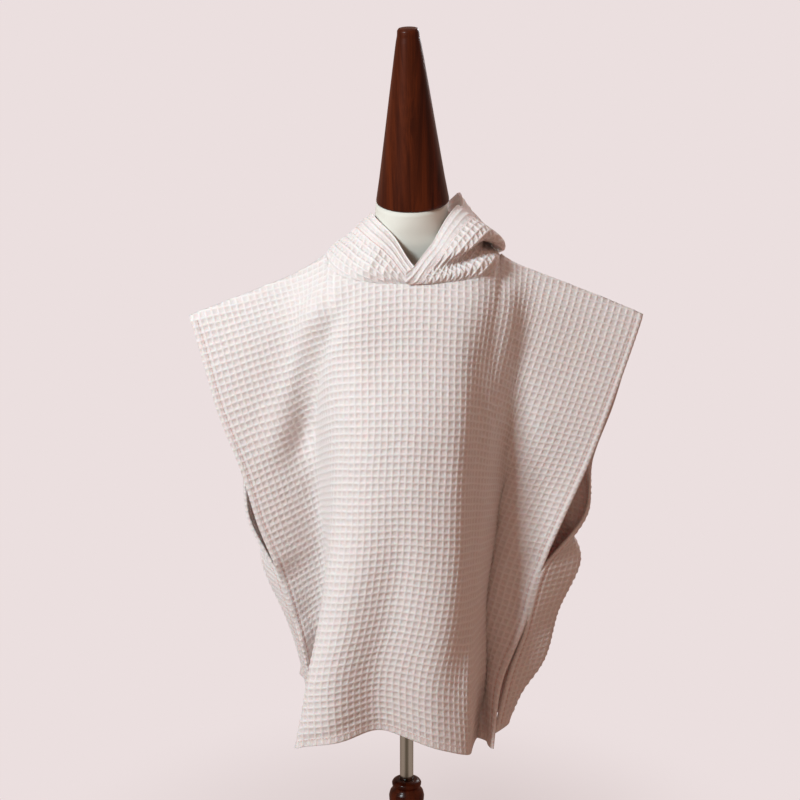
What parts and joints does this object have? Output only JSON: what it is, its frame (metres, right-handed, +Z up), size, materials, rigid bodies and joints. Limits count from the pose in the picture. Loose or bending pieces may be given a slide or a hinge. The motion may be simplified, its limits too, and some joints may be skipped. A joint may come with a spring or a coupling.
{
  "type": "hooded bath poncho on a child's dress form",
  "caption": "Child's waffle cotton bath poncho with its hood down, open armholes and side vents, hanging on a limbless dress form with a turned neck cap and a round stand.",
  "frame": {"origin": "middle of the stand's flat underside, on the pole's axis", "axes": "+Z up the pole, -Y to the front of the garment, +X to the right as seen from the front"},
  "size_m": [0.5394, 0.28, 1.0538],
  "materials": {
    "waffle_cotton": "pale blush waffle weave, matt",
    "form_cover": "pale grey jersey cover, satin",
    "dark_wood": "dark red-brown stain under gloss varnish",
    "chrome_pole": "polished chrome"
  },
  "bodies": {
    "root": {"front_panel": "waffle_cotton", "back_panel": "waffle_cotton", "hood_left": "waffle_cotton", "hood_right": "waffle_cotton", "dress_form": "form_cover", "neck_cap": "dark_wood", "pole": "chrome_pole", "pole_knob": "dark_wood", "stand": "dark_wood"}
  },
  "joints": []
}
